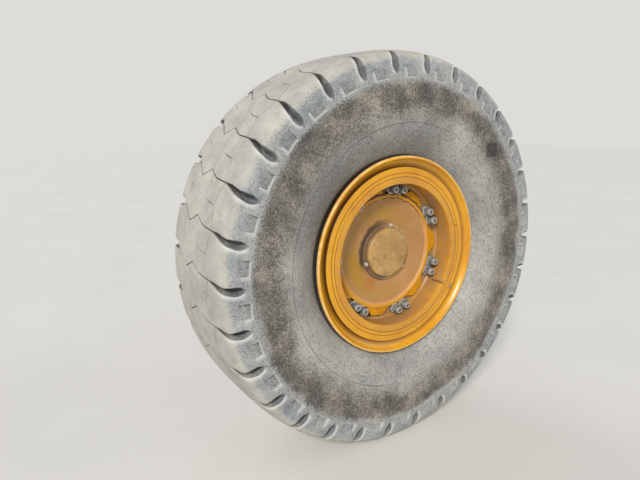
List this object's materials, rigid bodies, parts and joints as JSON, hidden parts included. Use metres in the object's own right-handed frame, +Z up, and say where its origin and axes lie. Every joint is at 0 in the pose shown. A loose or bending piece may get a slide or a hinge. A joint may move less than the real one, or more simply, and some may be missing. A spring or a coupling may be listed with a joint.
{
  "type": "front wheel end of a rigid dump truck",
  "caption": "Front wheel end of a rigid dump truck: lugged tyre on a multi-piece rim, bolted to a lobed hub that turns on a spindle with a disc brake.",
  "frame": {"origin": "centre of the spindle's mounting face, on the wheel's axle line", "axes": "+Y along the axle towards the truck, so the wheel's outer face looks to -Y; -X towards the truck's nose; +Z up"},
  "size_m": [2.12, 0.691, 2.12],
  "materials": {
    "tyre_rubber": "worn, dusty",
    "rim_paint": "gloss paint, dusty",
    "hub_paint": "gloss paint under dust",
    "cap_paint": "oily dust on paint",
    "fastener_steel": "dull, dirty",
    "brake_iron": "worn track, rusty hat",
    "caliper_paint": "satin black, dusty",
    "underside_paint": "satin black, dusty",
    "valve_brass": "tarnished"
  },
  "bodies": {
    "knuckle": {"spindle": "underside_paint", "brake_anchor": "underside_paint", "front_caliper": "caliper_paint", "rear_caliper": "caliper_paint"},
    "wheel": {"hub": "hub_paint", "bearing_cap": "cap_paint", "brake_disc": "brake_iron", "clamp_plates": "fastener_steel", "wheel_nuts": "fastener_steel", "wheel_disc": "rim_paint", "rim_base": "rim_paint", "outer_flange": "rim_paint", "inner_flange": "rim_paint", "bead_seat_band": "rim_paint", "lock_ring": "rim_paint", "valve_stem": "valve_brass", "tyre": "tyre_rubber"}
  },
  "joints": [
    {"name": "wheel_spin", "type": "hinge", "parent": "knuckle", "child": "wheel", "pos_m": [0, 0, 0], "axis": [0, -1, 0], "continuous": true}
  ]
}
